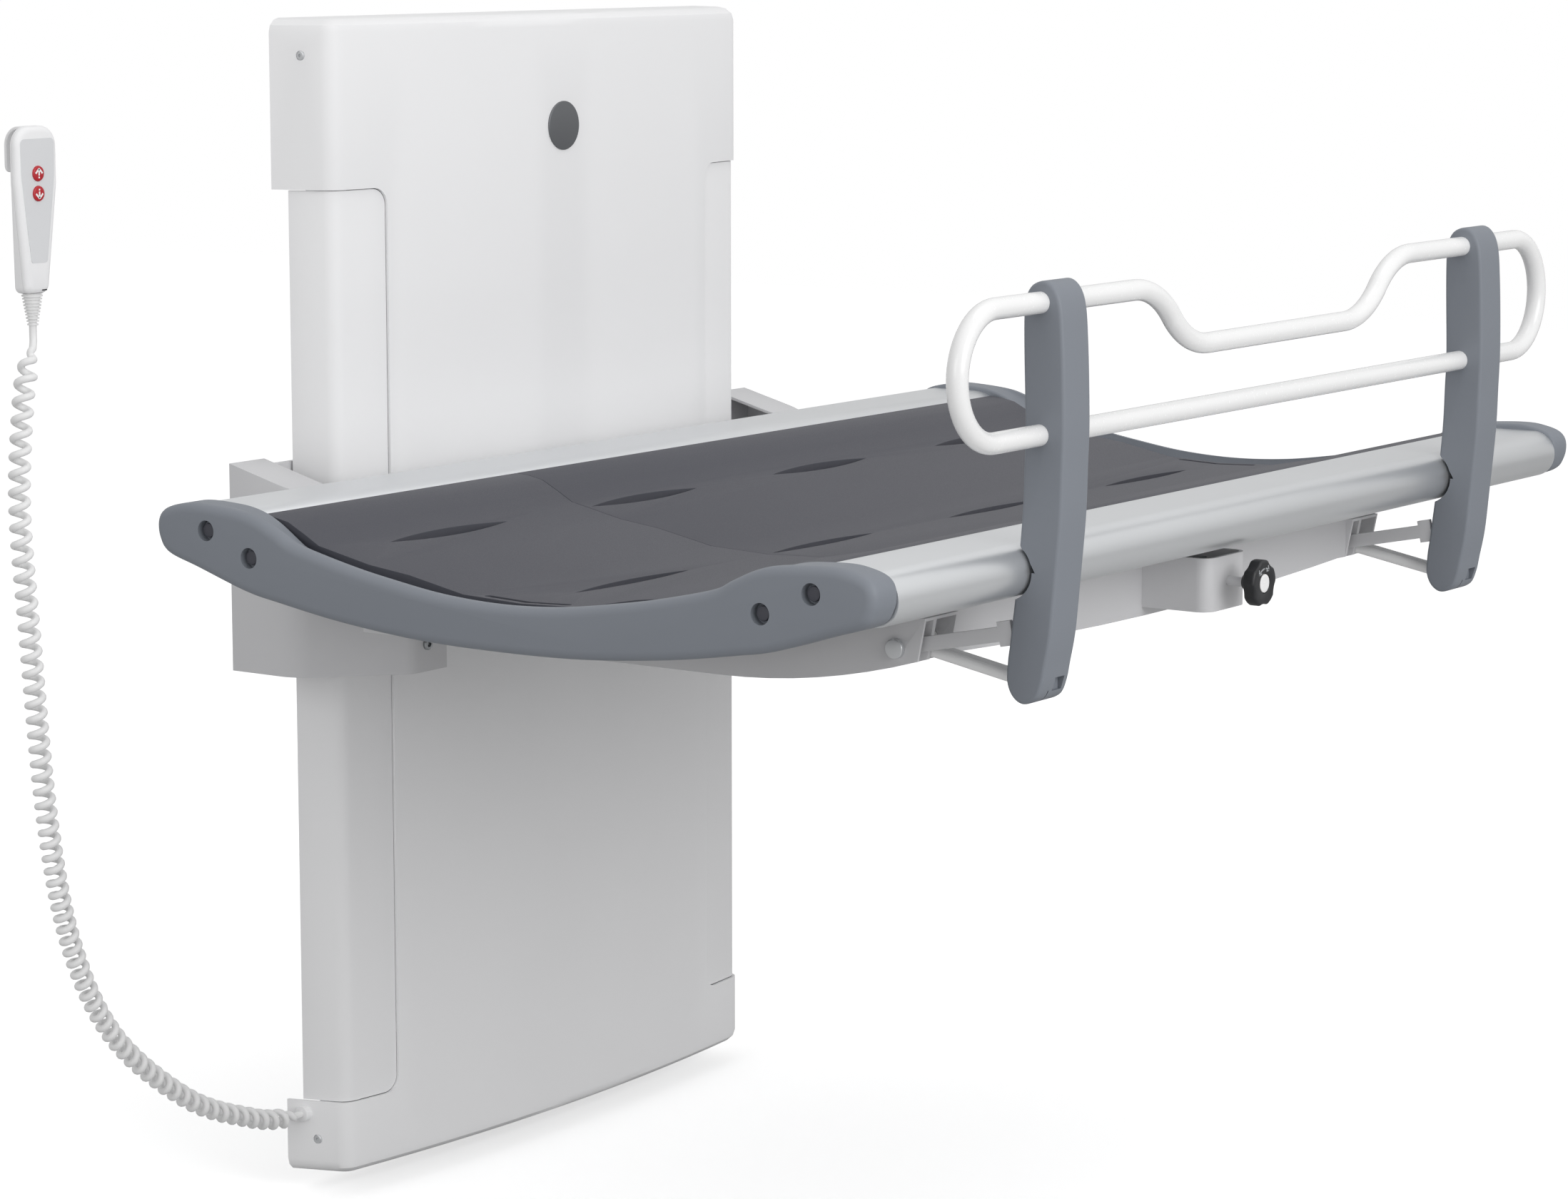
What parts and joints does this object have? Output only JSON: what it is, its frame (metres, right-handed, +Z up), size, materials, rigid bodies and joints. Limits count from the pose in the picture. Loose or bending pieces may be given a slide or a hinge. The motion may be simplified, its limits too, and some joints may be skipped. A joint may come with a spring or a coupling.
{
  "type": "wall-mounted changing table",
  "caption": "Wall-mounted changing and shower bench on an electric lift column, with a fold-up bed, swing-down safety rail and hand control.",
  "frame": {"origin": "on the wall, at the centre of the wall bolt pattern, half way up the column", "axes": "+X along the wall to the viewer's right, +Y into the wall, +Z up; the table stands out along -Y"},
  "size_m": [1.4223, 0.945, 1.154],
  "materials": {
    "cover_plastic": "fine satin moulding",
    "trim_plastic": "blue-grey fine texture",
    "bed_plastic": "dark grey soft-touch",
    "bracket_paint": "light grey powder coat",
    "rail_paint": "white powder coat",
    "satin_aluminium": "satin anodised",
    "steel": "zinc plated",
    "black_plastic": "fine texture",
    "face_plastic": "smooth membrane",
    "button_plastic": "smooth",
    "cord_sheath": "smooth sheath",
    "badge": "plain disc"
  },
  "bodies": {
    "wall_unit": {"back_plate": "steel", "cross_bars": "satin_aluminium", "guide_shafts": "steel", "lead_screw": "steel", "cover_posts": "satin_aluminium", "control_box": "black_plastic", "front_cover": "cover_plastic", "side_strip_left": "cover_plastic", "side_strip_right": "cover_plastic", "badge_disc": "badge", "cover_screws": "steel", "cord_gland": "cover_plastic", "handset_shell": "cover_plastic", "handset_face": "face_plastic", "strain_relief": "cord_sheath", "cord_lead": "cord_sheath", "curly_cord": "cord_sheath"},
    "up_key": {"up_button": "button_plastic"},
    "down_key": {"down_button": "button_plastic"},
    "carriage": {"carriage_plate": "steel", "slide_bearings": "black_plastic", "drive_unit": "black_plastic", "bracket_left": "bracket_paint", "bracket_right": "bracket_paint", "hinge_lugs": "bracket_paint", "flange_bolts": "steel", "stop_pads": "black_plastic"},
    "bed": {"wall_rail": "satin_aluminium", "front_rail": "satin_aluminium", "end_cap_left": "trim_plastic", "end_cap_right": "trim_plastic", "cap_screws": "steel", "head_panel": "bed_plastic", "foot_panel": "bed_plastic", "arm_left": "bracket_paint", "arm_right": "bracket_paint", "rear_beam": "steel", "arm_saddles": "steel", "front_beam": "bracket_paint", "hinge_blocks": "steel", "hinge_pins": "steel", "rail_pivots": "steel"},
    "safety_rail": {"rail_tube": "rail_paint", "post_left": "trim_plastic", "post_right": "trim_plastic", "link_strips": "rail_paint", "link_rods": "rail_paint"},
    "knob": {"star_knob": "black_plastic", "knob_cap": "rail_paint", "spindle": "steel"},
    "nut": {"spindle_nut": "steel"}
  },
  "joints": [
    {"name": "lift", "type": "slide", "parent": "wall_unit", "child": "carriage", "axis": [0, 0, 1], "range_m": [-0.42, 0.245]},
    {"name": "bed_fold", "type": "hinge", "parent": "carriage", "child": "bed", "pos_m": [0, -0.14, 0.1175], "axis": [-1, 0, 0], "range_deg": [0, 90]},
    {"name": "rail_swing", "type": "hinge", "parent": "bed", "child": "safety_rail", "pos_m": [0, -0.778, 0.04], "axis": [1, 0, 0], "range_deg": [0, 140]},
    {"name": "knob_turn", "type": "hinge", "parent": "bed", "child": "knob", "pos_m": [0, -0.9, 0.0565], "axis": [0, -1, 0], "range_deg": [-360, 360]},
    {"name": "nut_travel", "type": "slide", "parent": "bed", "child": "nut", "axis": [0, -1, 0], "range_m": [-0.00175, 0.00175]},
    {"name": "up_press", "type": "slide", "parent": "wall_unit", "child": "up_key", "axis": [0, 1, 0], "range_m": [0, 0.0012], "stiffness_N_per_m": 400, "springref_m": -0.002},
    {"name": "down_press", "type": "slide", "parent": "wall_unit", "child": "down_key", "axis": [0, 1, 0], "range_m": [0, 0.0012], "stiffness_N_per_m": 400, "springref_m": -0.002}
  ],
  "couplings": [
    {"joint": "knob_turn", "follows": "nut_travel", "rad_per_m": 3590}
  ]
}
